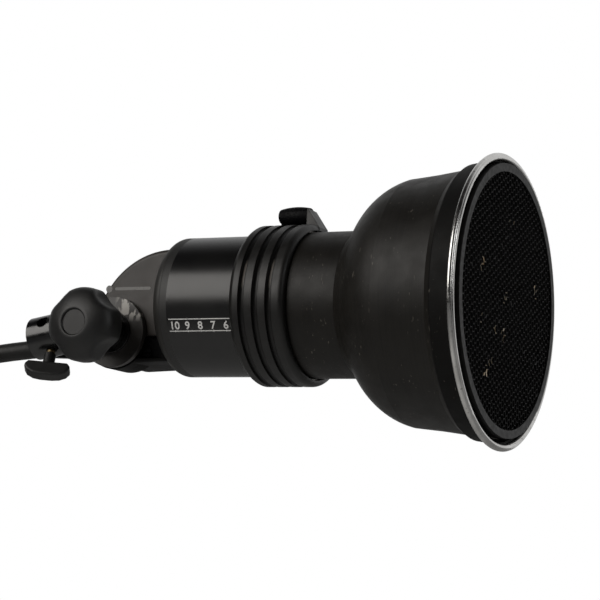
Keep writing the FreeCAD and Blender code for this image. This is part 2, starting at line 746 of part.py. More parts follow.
def connector_boot():
    return Part.makeCone(11.5, 8.0, 24, plug_point(24), vec(0, 0, 1)).cut(
        tube_along(CORD_R, plug_point(-1), plug_point(4)))


def connector_body():
    """Plug housing with a groove for its locking ring and a socket-like skirt round the contacts."""
    shell = tube_along(PLUG_R, plug_point(24), plug_point(52)).fuse([
        tube_along(PLUG_R - 3, plug_point(52), plug_point(72)),
        tube_along(PLUG_R, plug_point(72), plug_point(76)),
        tube_along(PLUG_R - 2, plug_point(76), plug_point(88))])
    shell = shell.cut(tube_along(PLUG_R - 4.5, plug_point(74), plug_point(90)))
    return shell.removeSplitter()


def connector_ring():
    ring = tube_along(PLUG_R + 1.5, plug_point(52.3), plug_point(71.7))
    ring = ring.cut(tube_along(PLUG_R - 2.95, plug_point(50), plug_point(74)))
    for k in range(18):
        a = math.radians(20 * k)
        foot = plug_point(73) + vec((PLUG_R + 2.1) * math.cos(a), (PLUG_R + 2.1) * math.sin(a), 0)
        ring = ring.cut(Part.makeCylinder(1.5, 24, foot, vec(0, 0, 1)))
    return ring


def connector_insert():
    block = tube_along(PLUG_R - 4.5, plug_point(74), plug_point(78))
    for spot in contact_places():
        block = block.cut(tube_along(1.9, plug_point(73) + spot, plug_point(79) + spot))
    return block


def contact_places():
    return [vec(x, y, 0) for x, y in on_circle(6, 8.5)]


def connector_pins():
    return [tube_along(1.9, plug_point(74) + spot, plug_point(86) + spot) for spot in contact_places()]


# ---- Write every sub-part ----
def main():
    os.makedirs("parts", exist_ok=True)
    route = lead_route()
    path, radii = rounded_path(route)
    lead = pipe(path, route, CORD_R)
    print("lead arc radii", [round(r, 1) for r in radii], "limit", 10 * CORD_R)
    section = math.pi * CORD_R ** 2
    print("lead volume over section times length", round(lead.Volume / (section * path.Length), 4))
    coil_length = COIL_TURNS * 2 * math.pi * COIL_R
    end = end_route()
    total = path.Length + coil_length + (end[1] - end[0]).Length + 44
    print("lead length", round(total), "of which coiled", round(coil_length))

    write("stand_bracket", stand_adapter())
    write("clamp_shoe", clamp_shoe())
    write("clamp_stud", clamp_stud())
    write("clamp_wing", clamp_wing())
    write("tilt_stud", tilt_stud())
    write("friction_disc", friction_disc())
    write("thrust_washer", thrust_washer())
    write("knob_collar", knob_collar())
    write("tilt_knob", tilt_knob())
    write("knob_insert", knob_insert())
    write("knob_cap", knob_cap())

    whole = casting().fuse([p.cut(cap_solid()) for p in screw_posts()])
    head_pieces = {
        "fairing_left": whole.common(box(-90, 10, 0, 60, -80, 60)),
        "fairing_right": whole.common(box(-90, 10, -60, 0, -80, 60)),
        "fairing_screws": casting_screws(),
        "access_panel": access_panel(),
        "panel_screw": panel_screw(),
        "cable_gland": cable_gland(),
        "strain_relief": strain_relief(),
        "lead_stub": lead_stub(),
        "head_wiring": head_wiring(),
        "rear_cap": rear_cap(),
        "body_tube": body_tube(),
        "fan_frame": fan_frame(),
        "fan_rotor": fan_rotor(),
        "fan_standoffs": fan_standoffs(),
        "circuit_board": circuit_board(),
        "trigger_coil": trigger_coil(),
        "chassis_rods": chassis_rods(),
        "heat_shield": heat_shield(),
        "lamp_socket": lamp_socket(),
        "modelling_lamp": modelling_lamp(),
        "front_plate": front_plate(),
        "flash_tube": flash_tube(),
        "flash_tube_terminals": flash_tube_terminals(),
        "trigger_wire": trigger_wire(),
        "glass_dome": glass_dome(),
        "dome_ring": dome_ring(),
        "reflector_neck": reflector_neck(),
        "reflector_shell": reflector_shell(),
        "front_ring": front_ring(),
        "rim_bead": rim_bead(),
        "collar_rubber": collar_rubber(),
        "collar_band": collar_band(),
        "lever_bracket": lever_bracket(),
        "lever_pin": lever_pin(),
        "clamp_lever": clamp_lever(),
        "grid_frame": grid_frame(),
        "grid_honeycomb": grid_honeycomb(),
        "grid_clips": grid_clips(),
    }
    for name, shape in head_pieces.items():
        pieces = shape if isinstance(shape, list) else [shape]
        write(name, [at_head(p) for p in pieces])

    write("head_cable_run", lead)
    write("head_cable_coil", head_cable_coil())
    write("head_cable_end", tube_along(CORD_R, end[0], end[1] + vec(0, 0, -4)))
    write("cable_ties", cable_ties())
    write("connector_boot", connector_boot())
    write("connector_body", connector_body())
    write("connector_ring", connector_ring())
    write("connector_insert", connector_insert())
    write("connector_pins", connector_pins())


main()
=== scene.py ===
"""Studio flash lamp head: camera, lead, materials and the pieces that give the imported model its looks."""
import bpy
import bmesh
import json
import math
import random
from mathutils import Matrix, Vector, noise


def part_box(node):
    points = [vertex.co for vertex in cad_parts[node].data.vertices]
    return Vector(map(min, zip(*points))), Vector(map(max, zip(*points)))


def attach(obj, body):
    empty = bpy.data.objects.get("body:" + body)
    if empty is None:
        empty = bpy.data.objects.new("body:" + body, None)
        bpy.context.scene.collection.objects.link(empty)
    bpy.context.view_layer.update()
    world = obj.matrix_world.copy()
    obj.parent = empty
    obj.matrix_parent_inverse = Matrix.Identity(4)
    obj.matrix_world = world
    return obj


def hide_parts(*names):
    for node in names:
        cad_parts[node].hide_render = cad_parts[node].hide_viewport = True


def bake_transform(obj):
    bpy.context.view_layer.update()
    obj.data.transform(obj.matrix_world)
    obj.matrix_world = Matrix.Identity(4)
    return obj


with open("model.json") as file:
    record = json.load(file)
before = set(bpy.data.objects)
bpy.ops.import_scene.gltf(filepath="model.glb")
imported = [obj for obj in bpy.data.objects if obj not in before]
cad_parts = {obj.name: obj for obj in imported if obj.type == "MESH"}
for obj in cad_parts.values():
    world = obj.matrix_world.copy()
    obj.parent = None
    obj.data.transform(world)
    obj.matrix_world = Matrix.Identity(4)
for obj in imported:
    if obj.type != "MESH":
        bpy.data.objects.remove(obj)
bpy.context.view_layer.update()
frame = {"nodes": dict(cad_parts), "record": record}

NODES = frame["nodes"]
MM = 0.001
PRINT_LIFT = 0.00006    # a printed mark stands this far off its surface
FLOOR_Z = -0.9
FLOOR_HALF = 6

# ---- Places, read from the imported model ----
tube_lo, tube_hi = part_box("body_tube")
SEAM = Vector((tube_lo.x, (tube_lo.y + tube_hi.y) / 2, (tube_lo.z + tube_hi.z) / 2))
BODY_R = (tube_hi.z - tube_lo.z) / 2
knob_lo, knob_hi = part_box("tilt_knob")
KNOB = Vector(((knob_lo.x + knob_hi.x) / 2, 0, (knob_lo.z + knob_hi.z) / 2))
grid_lo, grid_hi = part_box("grid_honeycomb")


# ---- Camera ----
def make_camera():
    """The camera stands in front of the knob's side, 26 degrees round towards the grid and a little below."""
    data = bpy.data.cameras.new("camera")
    data.lens = 127.44
    data.sensor_width = 36.0
    camera = bpy.data.objects.new("camera", data)
    place = Vector((0.83217, -1.28473, -0.17760))
    right = Vector((0.9015, 0.4301, 0.0479)).normalized()
    up = Vector((0.0177, -0.1472, 0.9890)).normalized()
    back = right.cross(up)
    camera.matrix_world = Matrix((
        (right.x, up.x, back.x, place.x), (right.y, up.y, back.y, place.y),
        (right.z, up.z, back.z, place.z), (0, 0, 0, 1)))
    bpy.context.scene.collection.objects.link(camera)
    bpy.context.scene.camera = camera


# ---- Materials ----
class Shader:
    """A small builder for one node material. Scales are per metre, in the model's own coordinates."""

    def __init__(self, name, color, rough, metallic=0.0, specular=0.5):
        self.material = bpy.data.materials.new(name)
        self.material.use_nodes = True
        self.tree = self.material.node_tree
        self.bsdf = self.tree.nodes["Principled BSDF"]
        self.place = self.node("ShaderNodeTexCoord").outputs["Object"]
        self.color = self.value_color(color)
        self.rough = self.value(rough)
        self.height = None
        self.bsdf.inputs["Metallic"].default_value = metallic
        self.bsdf.inputs["Specular IOR Level"].default_value = specular
        self.material.diffuse_color = (*color, 1)

    def node(self, kind, **inputs):
        made = self.tree.nodes.new(kind)
        for key, value in inputs.items():
            made.inputs[key].default_value = value
        return made

    def link(self, a, b):
        self.tree.links.new(a, b)

    def value(self, number):
        made = self.node("ShaderNodeValue")
        made.outputs[0].default_value = number
        return made.outputs[0]

    def value_color(self, color):
        made = self.node("ShaderNodeRGB")
        made.outputs[0].default_value = (*color, 1)
        return made.outputs[0]

    def stretched(self, stretch):
        made = self.node("ShaderNodeMapping")
        made.inputs["Scale"].default_value = stretch
        self.link(self.place, made.inputs["Vector"])
        return made.outputs[0]

    def noise(self, scale, detail=2.0, stretch=None, low=0.35, high=0.65):
        """Noise from 0 to 1, with low and high as the levels that become 0 and 1."""
        made = self.node("ShaderNodeTexNoise", Scale=scale, Detail=detail)
        self.link(self.stretched(stretch) if stretch else self.place, made.inputs["Vector"])
        span = self.node("ShaderNodeMapRange")
        span.inputs["From Min"].default_value = low
        span.inputs["From Max"].default_value = high
        self.link(made.outputs["Fac"], span.inputs["Value"])
        return span.outputs[0]

    def specks(self, scale, size, keep=0.62, stretch=None):
        """1 on small spots, 0 elsewhere. keep is the noise level above which a cell has its spot."""
        cells = self.node("ShaderNodeTexVoronoi", Scale=scale)
        source = self.stretched(stretch) if stretch else self.place
        self.link(source, cells.inputs["Vector"])
        near = self.node("ShaderNodeMapRange")
        near.inputs["From Min"].default_value = size
        near.inputs["From Max"].default_value = size * 0.4
        self.link(cells.outputs["Distance"], near.inputs["Value"])
        some = self.node("ShaderNodeSeparateColor")
        self.link(cells.outputs["Color"], some.inputs[0])
        chosen = self.math("GREATER_THAN", some.outputs[0], keep)
        return self.math("MULTIPLY", near.outputs[0], chosen)

    def between(self, axis, low, high):
        """0 where the coordinate on this axis is at low and beyond, rising to 1 at high and beyond."""
        axes = self.node("ShaderNodeSeparateXYZ")
        self.link(self.place, axes.inputs[0])
        span = self.node("ShaderNodeMapRange")
        span.inputs["From Min"].default_value = low
        span.inputs["From Max"].default_value = high
        self.link(axes.outputs[axis], span.inputs["Value"])
        return span.outputs[0]

    def window(self, axis, low, high, soft):
        """1 between low and high on this axis."""
        rise = self.between(axis, low - soft, low)
        return self.math("MULTIPLY", rise, self.between(axis, high + soft, high))

    def math(self, operation, a, b):
        made = self.node("ShaderNodeMath")
        made.operation = operation
        for socket, source in zip(made.inputs, (a, b)):
            if isinstance(source, (int, float)):
                socket.default_value = source
            else:
                self.link(source, socket)
        return made.outputs[0]

    def tint(self, mask, color, amount=1.0):
        """Colour moves towards color where mask is 1."""
        made = self.node("ShaderNodeMix")
        made.data_type = "RGBA"
        self.link(self.math("MULTIPLY", mask, amount), made.inputs[0])
        self.link(self.color, made.inputs[6])
        made.inputs[7].default_value = (*color, 1)
        self.color = made.outputs[2]
        return self

    def roughen(self, mask, change):
        self.rough = self.math("ADD", self.rough, self.math("MULTIPLY", mask, change))
        return self

    def raise_by(self, mask, metres):
        lift = self.math("MULTIPLY", mask, metres)
        self.height = lift if self.height is None else self.math("ADD", self.height, lift)
        return self

    def worn_edges(self, color, level=0.56, amount=0.6):
        """Paint rubbed off the convex edges."""
        shape = self.node("ShaderNodeNewGeometry")
        span = self.node("ShaderNodeMapRange")
        span.inputs["From Min"].default_value = level
        span.inputs["From Max"].default_value = level + 0.08
        self.link(shape.outputs["Pointiness"], span.inputs["Value"])
        patchy = self.math("MULTIPLY", span.outputs[0], self.noise(320.0, 4.0, low=0.42, high=0.6))
        return self.tint(patchy, color, amount)

    def done(self, bevel=0.0004):
        self.link(self.color, self.bsdf.inputs["Base Color"])
        self.link(self.rough, self.bsdf.inputs["Roughness"])
        rounded = self.node("ShaderNodeBevel", Radius=bevel) if bevel else None
        if self.height is not None:
            bump = self.node("ShaderNodeBump")
            bump.inputs["Distance"].default_value = 1.0
            self.link(self.height, bump.inputs["Height"])
            if rounded:
                self.link(rounded.outputs[0], bump.inputs["Normal"])
            self.link(bump.outputs[0], self.bsdf.inputs["Normal"])
        elif rounded:
            self.link(rounded.outputs[0], self.bsdf.inputs["Normal"])
        return self.material


def dust(shader, amount=0.25):
    """Light specks and a few fine scratches, as on a well-used tool."""
    shader.tint(shader.specks(420.0, 0.10, 0.82), (0.35, 0.33, 0.30), amount)
    shader.tint(shader.specks(150.0, 0.07, 0.80, (1.0, 3.5, 9.0)), (0.30, 0.29, 0.27), amount)
    return shader


def materials():
    """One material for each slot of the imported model, and a few for single pieces."""
    made = {}
    s = Shader("body_paint", (0.0055, 0.0055, 0.0060), 0.25, specular=0.62)
    s.raise_by(s.noise(5200.0, 3.0), 0.000002).roughen(s.noise(60.0, 4.0), 0.02)
    s.tint(s.noise(25.0, 3.0), (0.0080, 0.0078, 0.0078))
    rear = s.between("X", SEAM.x + 0.0056, SEAM.x + 0.0053)
    s.tint(rear, (0.0150, 0.0148, 0.0145)).roughen(rear, 0.26)
    made["body_paint"] = dust(s, 0.06).done(0.0008)

    s = Shader("casting_paint", (0.0245, 0.0195, 0.0162), 0.40)
    s.raise_by(s.noise(3800.0, 3.0), 0.000014).roughen(s.noise(90.0, 4.0), 0.08)
    s.tint(s.noise(40.0, 3.0), (0.0290, 0.0235, 0.0195)).worn_edges((0.10, 0.09, 0.08), 0.62, 0.4)
    # Painted shade: below the seam the casting turns near black, rougher and less shiny, standing in for the
    # shade under the head.
    under = s.between("Z", SEAM.z - 0.0225, SEAM.z - 0.0240)
    s.tint(under, (0.0040, 0.0038, 0.0036)).roughen(under, 0.15)
    s.link(s.math("ADD", s.math("MULTIPLY", under, -0.50), 0.62), s.bsdf.inputs["Specular IOR Level"])
    made["casting_paint"] = dust(s, 0.12).done(0.0006)

    s = Shader("cap_paint", (0.018, 0.0175, 0.0165), 0.42)
    s.raise_by(s.noise(4200.0, 3.0), 0.000014).roughen(s.noise(70.0, 4.0), 0.10)
    s.tint(s.noise(35.0, 3.0), (0.024, 0.023, 0.021))
    made["cap_paint"] = dust(s, 0.12).done(0.0006)

    s = Shader("gloss_black_paint", (0.0040, 0.0040, 0.0044), 0.14, specular=0.85)
    s.raise_by(s.noise(500.0, 1.0), 0.000006).roughen(s.noise(140.0, 5.0), 0.10)
    s.tint(s.noise(70.0, 4.0), (0.0075, 0.0070, 0.0068))
    made["gloss_black_paint"] = dust(s, 0.18).done(0.0006)

    s = Shader("stand_paint", (0.0040, 0.0040, 0.0044), 0.14, specular=0.85)
    satin = s.between("X", 0.030, 0.034)
    s.raise_by(s.noise(500.0, 1.0), 0.000006).roughen(s.noise(140.0, 5.0), 0.10).roughen(satin, 0.22)
    s.tint(satin, (0.0210, 0.0180, 0.0160))
    high = s.between("Z", KNOB.z + 0.007, KNOB.z + 0.013)
    patch = s.math("MULTIPLY", s.between("X", KNOB.x + 0.001, KNOB.x + 0.008), high)
    scratched = s.math("MULTIPLY", patch, s.noise(1.0, 6.0, (190.0, 190.0, 80.0), 0.49, 0.53))
    s.tint(scratched, (0.55, 0.53, 0.49), 0.95)
    made["stand_paint"] = dust(s, 0.25).done(0.0006)

    s = Shader("reflector_paint", (0.0070, 0.0062, 0.0052), 0.40, specular=0.33)
    rings = s.noise(1.0, 3.0, (1800.0, 10.0, 10.0))
    s.raise_by(s.noise(3000.0, 4.0), 0.000016).raise_by(rings, 0.000005).roughen(s.noise(80.0, 5.0), 0.10)
    s.tint(s.noise(50.0, 5.0), (0.0115, 0.0100, 0.0082)).tint(rings, (0.0145, 0.0128, 0.0104), 0.7)
    # Painted shade: the lip band past the bell's edge is made darker, rougher and less shiny than the bell.
    lip_painted_shade = s.between("X", SEAM.x + 0.2195, SEAM.x + 0.2205)
    s.tint(lip_painted_shade, (0.0034, 0.0031, 0.0028)).roughen(lip_painted_shade, 0.14)
    s.link(s.math("ADD", s.math("MULTIPLY", lip_painted_shade, -0.15), 0.33), s.bsdf.inputs["Specular IOR Level"])
    strokes = s.noise(1.0, 5.0, (700.0, 420.0, 160.0), 0.66, 0.69)
    nicks = s.math("MULTIPLY", strokes, s.noise(38.0, 2.0, low=0.50, high=0.56))
    s.tint(nicks, (0.22, 0.20, 0.17), 0.45)
    made["reflector_paint"] = dust(s, 0.25).done()

    s = Shader("grid_cells", (0.0055, 0.0055, 0.0058), 0.38, specular=0.35)
    s.raise_by(s.noise(2600.0, 3.0), 0.00002).roughen(s.noise(500.0, 3.0), 0.15)
    s.tint(s.noise(300.0, 3.0), (0.0095, 0.0092, 0.0088))
    made["grid_cells"] = s.done(0)

    s = Shader("bare_foil", (0.52, 0.47, 0.38), 0.34, 1.0)
    s.raise_by(s.noise(2600.0, 3.0), 0.00003).roughen(s.noise(500.0, 3.0), 0.15)
    s.tint(s.noise(160.0, 2.0), (0.45, 0.34, 0.22))
    made["bare_foil"] = s.done(0)

    s = Shader("grid_paint", (0.0055, 0.0053, 0.0050), 0.40, specular=0.25)
    s.raise_by(s.noise(2600.0, 3.0), 0.00001).roughen(s.noise(300.0, 3.0), 0.12)
    s.tint(s.noise(160.0, 4.0), (0.0095, 0.0090, 0.0084))
    made["grid_paint"] = dust(s, 0.35).done(0.0003)

    s = Shader("bare_aluminium", (0.84, 0.83, 0.81), 0.15, 1.0)
    s.raise_by(s.noise(500.0, 3.0), 0.000010).roughen(s.noise(240.0, 4.0), 0.12)
    s.tint(s.specks(300.0, 0.30, 0.86), (0.20, 0.19, 0.17), 0.7).tint(s.noise(60.0, 4.0), (0.66, 0.65, 0.63))
    made["bare_aluminium"] = s.done(0.0003)

    s = Shader("steel", (0.50, 0.49, 0.47), 0.30, 1.0)
    s.raise_by(s.noise(1.0, 3.0, (2500.0, 40.0, 2500.0)), 0.000008).roughen(s.noise(260.0, 4.0), 0.18)
    s.tint(s.noise(120.0, 4.0), (0.30, 0.28, 0.26))
    made["steel"] = s.done(0.0003)

    s = Shader("brass", (0.66, 0.50, 0.27), 0.28, 1.0)
    s.raise_by(s.noise(1800.0, 3.0), 0.00001).roughen(s.noise(260.0, 4.0), 0.2)
    s.tint(s.noise(150.0, 4.0), (0.42, 0.31, 0.17))
    made["brass"] = s.done(0.0003)

    s = Shader("soft_black", (0.0085, 0.0085, 0.0090), 0.42, specular=0.62)
    s.raise_by(s.noise(4200.0, 3.0), 0.00001).roughen(s.noise(100.0, 4.0), 0.06)
    s.tint(s.noise(60.0, 4.0), (0.0110, 0.0108, 0.0104))
    made["soft_black"] = dust(s, 0.08).done(0.0005)

    s = Shader("lever_black", (0.0020, 0.0020, 0.0028), 0.46, specular=0.12)
    s.raise_by(s.specks(620.0, 0.55, 0.30, (1.0, 1.6, 1.6)), 0.00012).roughen(s.noise(300.0, 4.0), 0.12)
    s.tint(s.specks(700.0, 0.22, 0.88), (0.05, 0.045, 0.035), 0.7)
    made["lever_black"] = s.done(0.0006)

    s = Shader("rubber", (0.0070, 0.0068, 0.0064), 0.36, specular=0.5)
    s.raise_by(s.noise(2600.0, 3.0), 0.000010).roughen(s.noise(120.0, 4.0), 0.10)
    s.tint(s.noise(45.0, 4.0), (0.0105, 0.0100, 0.0092))
    # Painted highlight: light glints in the collar's first and third grooves, painted only within one height
    # band of the rubber.
    rubbed = s.window("Z", SEAM.z + 0.010, SEAM.z + 0.020, 0.006)
    for groove in (0.0667, 0.0874):
        line = s.window("X", SEAM.x + groove - 0.0005, SEAM.x + groove + 0.0004, 0.0003)
        s.tint(s.math("MULTIPLY", rubbed, line), (0.30, 0.27, 0.24), 0.8)
    made["rubber"] = dust(s, 0.15).done(0.0006)

    s = Shader("cord_jacket", (0.0065, 0.0065, 0.0065), 0.44)
    s.raise_by(s.noise(2200.0, 3.0), 0.00003).roughen(s.noise(160.0, 4.0), 0.12)
    s.tint(s.noise(90.0, 4.0), (0.0100, 0.0096, 0.0092))
    made["cord_jacket"] = dust(s, 0.12).done(0)

    s = Shader("tie_fabric", (0.018, 0.018, 0.018), 0.85)
    weave = s.noise(1.0, 1.0, (2400.0, 900.0, 900.0))
    s.raise_by(weave, 0.00015).tint(weave, (0.035, 0.034, 0.032), 0.7)
    made["tie_fabric"] = s.done(0)

    s = Shader("friction_fibre", (0.10, 0.075, 0.055), 0.8)
    s.raise_by(s.noise(1800.0, 4.0), 0.00008).tint(s.noise(900.0, 4.0), (0.16, 0.13, 0.09))
    made["friction_fibre"] = s.done()

    s = Shader("board", (0.03, 0.09, 0.05), 0.4)
    s.raise_by(s.noise(1.0, 0.0, (10.0, 700.0, 90.0)), 0.00004).tint(s.noise(300.0, 1.0), (0.05, 0.13, 0.07))
    made["board"] = s.done()

    s = Shader("ceramic", (0.72, 0.70, 0.64), 0.55)
    s.raise_by(s.noise(1500.0, 3.0), 0.00003).tint(s.noise(200.0, 3.0), (0.60, 0.57, 0.50))
    made["ceramic"] = s.done()

    s = Shader("quartz", (0.92, 0.93, 0.92), 0.06)
    s.roughen(s.noise(60.0, 3.0), 0.06).raise_by(s.noise(70.0, 2.0), 0.00008)
    s.bsdf.inputs["Transmission Weight"].default_value = 0.9
    made["quartz"] = s.done(0)

    s = Shader("print_white", (0.86, 0.86, 0.85), 0.5)
    s.raise_by(s.noise(4000.0, 3.0), 0.00001).tint(s.specks(900.0, 0.35, 0.86), (0.05, 0.05, 0.05), 0.8)
    made["print_white"] = s.done(0)

    s = Shader("print_grey", (0.26, 0.255, 0.25), 0.5)
    s.raise_by(s.noise(4000.0, 3.0), 0.00001).tint(s.specks(900.0, 0.35, 0.80), (0.05, 0.05, 0.05), 0.8)
    made["print_grey"] = s.done(0)
    return made


# ---- Mesh helpers ----
def new_object(name, verts, faces, material, smooth=True):
    mesh = bpy.data.meshes.new(name)
    mesh.from_pydata([tuple(v) for v in verts], [], faces)
    mesh.validate()
    mesh.materials.append(material)
    obj = bpy.data.objects.new(name, mesh)
    bpy.context.scene.collection.objects.link(obj)
    if smooth:
        mesh.shade_smooth()
    return obj


def skin(rows, closed_rows=True, caps=True):
    """Faces between rows of points that follow one another."""
    count = len(rows[0])
    verts = [p for row in rows for p in row]
    faces = []
    for i in range(len(rows) - 1):
        for j in range(count if closed_rows else count - 1):
            k = (j + 1) % count
            faces.append((i * count + j, i * count + k, (i + 1) * count + k, (i + 1) * count + j))
    if caps:
        faces.append(tuple(reversed(range(count))))
        faces.append(tuple(range((len(rows) - 1) * count, len(rows) * count)))
    return verts, faces


# ---- Lead, in millimetres ----
ROUTE = [(-6, 56, 2.13), (-66, 56, -1.54), (-111, 56, -11.2), (-148, 56, -38), (-170, 56, -79),
         (-175, 56, -125), (-175, 56, -168)]
COIL = (-175.0, -37.7, -190.0)
COIL_R = 80.0
CORD_R = 6.85
LANES = [(0, 13.7), (-11.86, 6.85), (-11.86, -6.85), (0, -13.7), (0, 0), (11.86, -6.85), (11.86, 6.85)]
END = [(-163.14, 49.15, -212), (-163.14, 49.15, -266)]
PER_TURN = 18
LANE_CHANGE = 0.14      # share of a turn over which a turn moves to its neighbour's lane
AROUND = 18


def lane_at(turn, share):
    """Where a turn lies in the bundle: each turn moves to the next lane after its neighbour has left it."""
    here = Vector(LANES[turn])
    if turn == len(LANES) - 1:
        return here
    there = Vector(LANES[turn + 1])
    start = 1 - LANE_CHANGE * (turn + 1)
    mix = min(max((share - start) / LANE_CHANGE, 0.0), 1.0)
    mix = mix * mix * (3 - 2 * mix)
    between = here.lerp(there, mix)
    if here.length > 1 and there.length > 1:
        between = between.normalized() * here.length
    return between


def lead_points():
    """The route to the coil, its turns, and the straight end, in metres."""
    points = [Vector(p) for p in ROUTE]
    grow = 1 / math.cos(math.pi / PER_TURN)
    for turn in range(len(LANES)):
        for k in range(PER_TURN):
            share = (k + 0.5) / PER_TURN
            lane = lane_at(turn, share)
            radius = (COIL_R + lane.y) * grow
            angle = -2 * math.pi * share
            points.append(Vector((COIL[0] + lane.x, COIL[1] + radius * math.cos(angle),
                                  COIL[2] + radius * math.sin(angle))))
    points += [Vector(p) for p in END]
    return [p * MM for p in points]


def smooth_line(points):
    """The points that a NURBS spline through this route passes."""
    curve = bpy.data.curves.new("lead_route", "CURVE")
    curve.dimensions = "3D"
    curve.resolution_u = 6
    spline = curve.splines.new("NURBS")
    spline.points.add(len(points) - 1)
    for spot, point in zip(spline.points, points):
        spot.co = (*point, 1)
    spline.order_u = 3
    spline.use_endpoint_u = True
    guide = bpy.data.objects.new("lead_route", curve)
    bpy.context.scene.collection.objects.link(guide)
    bpy.context.view_layer.update()
    mesh = bpy.data.meshes.new_from_object(guide)
    line = [v.co.copy() for v in mesh.vertices]
    bpy.data.meshes.remove(mesh)
    bpy.data.objects.remove(guide)
    return line


def make_lead(made):
    """One round cord from the gland to the plug, through the tied coil."""
    line = smooth_line(lead_points())
    side = Vector((0, 1, 0))
    rows = []
    for k, point in enumerate(line):
        along = (line[min(k + 1, len(line) - 1)] - line[max(k - 1, 0)]).normalized()
        side = (side - along * side.dot(along)).normalized()
        other = along.cross(side)
        rows.append([point + (side * math.cos(a) + other * math.sin(a)) * CORD_R * MM
                     for a in (2 * math.pi * j / AROUND for j in range(AROUND))])
    lead = new_object("generator_lead", *skin(rows), made["cord_jacket"])
    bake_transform(lead)
    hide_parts("head_cable_run", "head_cable_coil", "head_cable_end")


# ---- Honeycomb ----
def make_honeycomb(made):
    """Foil cells 4.8 mm across the flats, with slightly uneven corners and a few bent, rubbed walls."""
    rng = random.Random(7)
    pitch = 0.0048
    side = pitch / math.sqrt(3)
    uneven = 0.00026
    warp = 0.0005
    single, double = 0.00008, 0.00012
    rubbed_depth = 0.0007
    spot_count, spot_reach = 9, 0.0045
    radius = (grid_hi.z - grid_lo.z) / 2
    edge = radius + 0.0004
    centre = Vector((0, (grid_lo.y + grid_hi.y) / 2, (grid_lo.z + grid_hi.z) / 2))
    corners = {}
    walls = set()
    reach = int(radius / pitch * 1.16) + 2

    def corner(y, z):
        key = (round(y / side * 4), round(z / side * 4))
        if key not in corners:
            wobble = Vector((y * 90, z * 90, 3.0))
            point = Vector((0, y + uneven * rng.uniform(-1, 1) + warp * noise.noise(wobble),
                            z + uneven * rng.uniform(-1, 1) + warp * noise.noise(wobble.yzx)))
            corners[key] = point * min(1.0, edge / point.length)
        return key

    for i in range(-reach, reach + 1):
        for j in range(-reach, reach + 1):
            y = pitch * math.sqrt(3) / 2 * j
            z = pitch * (i + 0.5 * (j % 2))
            if math.hypot(y, z) > radius + pitch * 0.2:
                continue
            ring = [corner(y + side * math.cos(math.pi / 3 * k), z + side * math.sin(math.pi / 3 * k))
                    for k in range(6)]
            for a, b in zip(ring, ring[1:] + ring[:1]):
                walls.add((min(a, b), max(a, b)))
    verts, faces, bare = [], [], []
    spots = [Vector((0, rng.uniform(-0.7, 0.7) * radius, rng.uniform(-0.7, 0.7) * radius))
             for _ in range(spot_count)]
    for a, b in sorted(walls):
        p, q = corners[a], corners[b]
        if (q - p).length < 0.0004:
            continue
        near = min((p - spot).length for spot in spots)
        shiny = near < spot_reach and rng.random() < 0.5
        bare += [1 if shiny and k in (4, 5, 6, 7, 9) else 0 for k in range(10)]
        along = (q - p).normalized()
        thick = Vector((0, -along.z, along.y)) * (double if abs(along.z) < 0.3 else single)
        bent = 0.0008 if rng.random() < (0.25 if shiny else 0.01) else 0.0
        push = Vector((0, -along.z, along.y)) * bent * rng.choice((-1, 1))
        base = len(verts)
        for x, shift in ((grid_lo.x + 0.0001, Vector()), (grid_hi.x - rubbed_depth, Vector()),
                         (grid_hi.x - 0.0001 - bent * 0.4, push)):
            for corner_point, sign in ((p, 1), (q, 1), (q, -1), (p, -1)):
                verts.append(Vector((x, 0, 0)) + centre + corner_point + thick * sign + shift)
        for layer in (0, 4):
            for k in range(4):
                n = (k + 1) % 4
                faces.append((base + layer + k, base + layer + n, base + layer + 4 + n, base + layer + 4 + k))
        faces.append((base + 3, base + 2, base + 1, base))
        faces.append((base + 8, base + 9, base + 10, base + 11))
    cells = new_object("honeycomb_cells", verts, faces, made["grid_cells"], smooth=False)
    cells.data.materials.append(made["bare_foil"])
    cells.data.polygons.foreach_set("material_index", bare)
    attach(cells, "grid")
    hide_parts("grid_honeycomb")


# ---- Knob ----
def make_knob(made):
    """A soft domed knob with four broad scallops and a recess for its cap."""
    back = knob_hi.y
    face = knob_lo.y
    widest = 0.0262
    profile = [(0.0080, back - 0.0001), (0.0112, back - 0.0001), (0.0130, back - 0.0005),
               (0.0178, back - 0.0018), (0.0222, back - 0.0027), (0.0247, back - 0.0038),
               (0.0259, back - 0.0056), (widest, back - 0.0080), (widest, face + 0.0145),
               (0.0259, face + 0.0118), (0.0249, face + 0.0093), (0.0231, face + 0.0070),
               (0.0206, face + 0.0050), (0.0178, face + 0.0034), (0.0150, face + 0.0020),
               (0.0122, face + 0.0010), (0.0102, face + 0.0004), (0.0096, face + 0.0005),
               (0.0091, face + 0.0011), (0.0090, face + 0.0034), (0.0060, face + 0.0035)]
    scale = (knob_hi.z - KNOB.z) / widest
    scallop = 0.022
    scallop_depth = 0.0040
    away = widest + scallop - scallop_depth
    soft = 0.0022
    around = 192
    rows = []
    for r, y in profile:
        row = []
        for j in range(around):
            angle = 2 * math.pi * j / around
            off = (angle % (math.pi / 2)) - math.pi / 4
            under = scallop ** 2 - (away * math.sin(off)) ** 2
            limit = away * math.cos(off) - math.sqrt(under) if under > 0 else 1.0
            mix = min(max(0.5 + 0.5 * (limit - r) / soft, 0.0), 1.0)
            radius = (limit * (1 - mix) + r * mix - soft * mix * (1 - mix)) if mix < 1 else r
            row.append(Vector((KNOB.x + radius * scale * math.cos(angle), y,
                               KNOB.z + radius * scale * math.sin(angle))))
        rows.append(row)
    knob = new_object("tilt_knob_scalloped", *skin(rows, caps=False), made["soft_black"])
    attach(knob, "tilt_knob")
    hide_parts("tilt_knob")


# ---- Printed marks ----
def wrapped(flat, radius):
    """Flat (along, round, out) points laid on the body's near side, round measured down the surface."""
    along, down, out = flat
    angle = down / radius
    r = radius + out
    return Vector((SEAM.x + along, SEAM.y - r * math.cos(angle), SEAM.z - r * math.sin(angle)))


